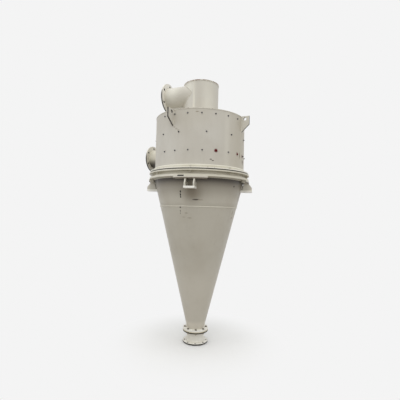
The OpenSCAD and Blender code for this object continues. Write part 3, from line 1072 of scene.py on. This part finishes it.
class Hardware:
    """Bolts, nuts and studs gathered into one mesh."""

    def __init__(self):
        self.verts = []
        self.faces = []

    def skin(self, first, rows, sides):
        """Faces over rows of points from index first on, closed at both ends."""
        last = first + (rows - 1) * sides
        for low in range(first, last, sides):
            for side in range(sides):
                there = (side + 1) % sides
                self.faces.append((low + side, low + there, low + sides + there, low + sides + side))
        self.faces.append(tuple(first + side for side in reversed(range(sides))))
        self.faces.append(tuple(last + side for side in range(sides)))

    def turned(self, place, profile, sides):
        """A turned form of (radius, height) points, closed at both ends."""
        first = len(self.verts)
        for radius, height in profile:
            for cos, sin in circle(sides):
                self.verts.append(place @ Vector((radius * cos, radius * sin, height)))
        self.skin(first, len(profile), sides)

    def hexagon(self, place, across, height, turn, sides=24):
        """A hexagon head or nut with its corners turned down at both faces."""
        first = len(self.verts)
        face = across * 0.475
        drop = (across / math.sqrt(3.0) - face) * 0.58
        rows = ((0.0, True), (drop, False), (height - drop, False), (height, True))
        for level, at_face in rows:
            for side in range(sides):
                angle = 2.0 * math.pi * side / sides
                flat = across / 2.0 / math.cos(angle % (math.pi / 3.0) - math.pi / 6.0)
                reach = face if at_face else flat
                corner = Vector((reach * math.cos(angle + turn), reach * math.sin(angle + turn), level))
                self.verts.append(place @ corner)
        self.skin(first, len(rows), sides)

    def thread(self, place, radius, length, pitch):
        """The threaded end of a bolt, with grooves at the thread's pitch and a broken end."""
        profile = []
        turns = max(1, int(length / pitch))
        for turn in range(turns):
            profile.append((radius - 0.32 * pitch, turn * pitch))
            profile.append((radius, (turn + 0.5) * pitch))
        profile.append((radius - 0.32 * pitch, turns * pitch))
        profile.append((radius - 0.9 * pitch, (turns + 0.4) * pitch))
        self.turned(place, profile, 16)

    def fasten(self, place, turn, sizes, height, thread=None):
        """A washer, a hexagon of that height on it, and a thread's end out of that."""
        washer, sides, lift, across = sizes
        self.turned(place, washer, sides)
        self.hexagon(lifted(place, lift), across, height, turn)
        if thread is not None:
            self.thread(lifted(place, thread[0]), *thread[1:])

    def mesh(self, name):
        out = bpy.data.meshes.new(name)
        out.from_pydata([tuple(v) for v in self.verts], [], self.faces)
        smooth(out, 35.0)
        return out


# Of the two sizes of bolt and the studs: a washer's profile and sides, the hexagon's lift and width.
BODY_HEX = ([(0.0160, 0.0), (0.0160, 0.0026), (0.0154, 0.0030)], 28, 0.0030, 0.0238)
SMALL_HEX = ([(0.0128, 0.0), (0.0128, 0.0019), (0.0123, 0.0022)], 24, 0.0022, 0.0190)
STUD_HEX = ([(0.0085, 0.0), (0.0085, 0.0013), (0.0080, 0.0017)], 24, 0.0016, 0.0130)
# The threads' ends that stick out: lift, radius, length and pitch.
BODY_THREAD = (0.0159, 0.0079, 0.0046, 0.0023)
SMALL_THREAD = (0.0130, 0.0063, 0.0078, 0.00195)
STUD_THREAD = (0.0078, 0.0040, 0.0042, 0.00125)

# Rows of studs: height, number, and the first one's azimuth from the front.
STUD_ROWS = {
    "studs_top_row": (0.806, 22, 25.2),
    "studs_middle_row": (0.6085, 11, 31.0),
    "studs_bottom_row": (0.4105, 22, 26.5),
}
MIDDLE_ROW = "studs_middle_row"
# The other two rows leave this part of the wall free.
BARE_SECTOR = (-150.0, -125.0)
# One stud of the middle row sits beside its even place.
MOVED_STUD = 9
MOVED_STUD_ANGLE = -116.1


def add_studs():
    """Three rows of liner studs: every nut with its stud end and a small washer on the wall."""
    for name, (z, count, first) in STUD_ROWS.items():
        gather = Hardware()
        for number in range(count):
            angle = first - 90.0 + number * 360.0 / count
            bare = BARE_SECTOR[0] < (angle + 180.0) % 360.0 - 180.0 < BARE_SECTOR[1]
            if name == MIDDLE_ROW and number == MOVED_STUD:
                angle = MOVED_STUD_ANGLE
            if (bare and name != MIDDLE_ROW) or hidden_by_duct(angle, z):
                continue
            place = frame_on(around(1.0, angle, 0.0), around(DRUM_R - 0.0004, angle, z))
            gather.fasten(place, 0.5 * number, STUD_HEX, 0.0065, STUD_THREAD)
        add_piece(name, gather.mesh(name), stud_steel, "drum_paint")


def hidden_by_duct(angle, z):
    """True where the inlet pipe or its weld takes the stud's place on the wall."""
    place = around(DRUM_R, angle, z)
    reach = math.hypot(place.y - INLET_Y, place.z - INLET_Z)
    return place.x <= 0.0 and reach < DUCT_R + 0.022


def joint_places(radius, first, top, bottom):
    """Places of eight bolts' heads and, turned over, of their nuts."""
    over = Matrix.Rotation(math.pi, 4, "X")
    for number in range(8):
        angle = first + number * 45.0
        head = Matrix.Translation(around(radius, angle, top))
        yield number, head, Matrix.Translation(around(radius, angle, bottom)) @ over


def add_bolts():
    """The bolts of the body joint and of the joint above the spool."""
    gather = Hardware()
    for number, place, under in joint_places(BODY_BOLT_R, BRACKET_TURN, LEG_Z1, RING_Z0):
        gather.fasten(place, number * 0.7, BODY_HEX, 0.0100)
        gather.fasten(under, number * 1.3, BODY_HEX, 0.0130, BODY_THREAD)
    add_piece("body_joint_bolts", gather.mesh("body_joint_bolts"), bolt_paint, "drum_paint")
    gather = Hardware()
    nuts = Hardware()
    for number, place, under in joint_places(SMALL_BOLT_R, SMALL_TURN, CONE_Z0, SPOOL_Z0):
        gather.fasten(place, number * 0.9, SMALL_HEX, 0.0079)
        nuts.fasten(under, number * 1.7, SMALL_HEX, 0.0109, SMALL_THREAD)
    add_piece("spool_joint_bolts", gather.mesh("spool_joint_bolts"), bolt_steel, "cone_paint")
    add_piece("spool_joint_nuts", nuts.mesh("spool_joint_nuts"), bolt_paint, "cone_paint")


add_shells()
add_flanges()
add_welds()
add_studs()
add_bolts()


# The floor's and the world's colour as seen, the floor's as it throws light back, and the world's light.
BACKDROP = srgb(244, 244, 244)
FLOOR_BOUNCE = srgb(162, 157, 150)
FILL_COLOUR = (0.97, 0.985, 1.0)
FILL_LEVEL = 0.92


def seen_straight(tree):
    """1 for rays from the camera, a mirror or glass, 0 for those that only carry light."""
    path = tree.nodes.new("ShaderNodeLightPath")
    seen = path.outputs["Is Camera Ray"]
    for ray in ("Is Glossy Ray", "Is Transmission Ray"):
        either = add_node(tree, "ShaderNodeMath", {0: seen, 1: path.outputs[ray]})
        either.operation = "MAXIMUM"
        seen = either.outputs[0]
    return seen


def blend(tree, amount, first, second):
    """A shader that goes from the first node's to the second's with the amount."""
    inputs = {0: amount, 1: first.outputs[0], 2: second.outputs[0]}
    return add_node(tree, "ShaderNodeMixShader", inputs)


def add_floor():
    """A pale floor: shaded close to the object, and fading into the backdrop further out."""
    mesh = bpy.data.meshes.new("floor")
    half = 30.0
    corners = [(-half, -half, FLOOR_Z), (half, -half, FLOOR_Z), (half, half, FLOOR_Z), (-half, half, FLOOR_Z)]
    mesh.from_pydata(corners, [], [(0, 1, 2, 3)])
    floor = new_object("floor", mesh)
    graph = Graph("pale_floor")
    tree = graph.tree
    tone = graph.ramp(graph.noise(0.8, 4.0), 0.3, 0.7)
    graph.surface("Base Color", graph.mix(tone, srgb(240, 239, 237), srgb(235, 234, 231)))
    graph.surface("Roughness", 0.7)
    graph.surface("Specular IOR Level", 0.2)
    plain = graph.add("ShaderNodeEmission", {"Color": BACKDROP})
    dull = graph.add("ShaderNodeBsdfDiffuse", {"Color": FLOOR_BOUNCE})
    shown = blend(tree, graph.ramp(graph.radius(), 0.25, 1.1), graph.shader, plain)
    surface = blend(tree, seen_straight(tree), dull, shown)
    tree.links.new(surface.outputs[0], graph.output.inputs["Surface"])
    mesh.materials.append(graph.material)


def add_world():
    """A plain pale backdrop, and an even fill of light that is a little cooler."""
    world = bpy.data.worlds.new("studio")
    bpy.context.scene.world = world
    world.use_nodes = True
    tree = world.node_tree
    tree.nodes.clear()
    seen = add_node(tree, "ShaderNodeBackground", {"Color": BACKDROP, "Strength": 1.0})
    fill = add_node(tree, "ShaderNodeBackground", {"Color": (*FILL_COLOUR, 1.0), "Strength": FILL_LEVEL})
    both = blend(tree, seen_straight(tree), fill, seen)
    add_node(tree, "ShaderNodeOutputWorld", {"Surface": both.outputs[0]})


def add_lamp(name, place, target, width, height, power, colour):
    """A soft rectangular lamp at place, facing the target."""
    data = bpy.data.lights.new(name, "AREA")
    data.shape = "RECTANGLE"
    data.size = width
    data.size_y = height
    data.energy = power
    data.color = colour
    lamp = new_object(name, data)
    way = (Vector(place) - Vector(target)).normalized()
    lamp.matrix_world = Matrix.Translation(place) @ way.to_track_quat("Z", "Y").to_matrix().to_4x4()


def beside_camera(angle, distance, z):
    """A point round the vessel, by its angle to the right of the camera."""
    return around(distance, VIEW_TURN - 90.0 + angle, z)


def add_lights():
    middle = (0.0, 0.0, 0.3)
    add_lamp("ceiling", beside_camera(-8.0, 2.5, 5.2), (0.0, 0.0, 0.4), 1.4, 4.5, 80.0, (1.0, 0.99, 0.97))
    add_lamp("left_window", beside_camera(-80.0, 4.2, 0.9), middle, 0.35, 3.0, 13.0, FILL_COLOUR)
    add_lamp("right_window", beside_camera(68.0, 4.2, 0.9), middle, 0.30, 3.0, 5.0, (1.0, 0.96, 0.90))
    add_lamp("hall", beside_camera(10.0, 6.0, 0.2), (0.0, 0.0, -0.3), 4.0, 3.0, 18.0, (1.0, 0.98, 0.95))


add_floor()
add_world()
add_lights()
bpy.context.scene.view_settings.view_transform = "Standard"
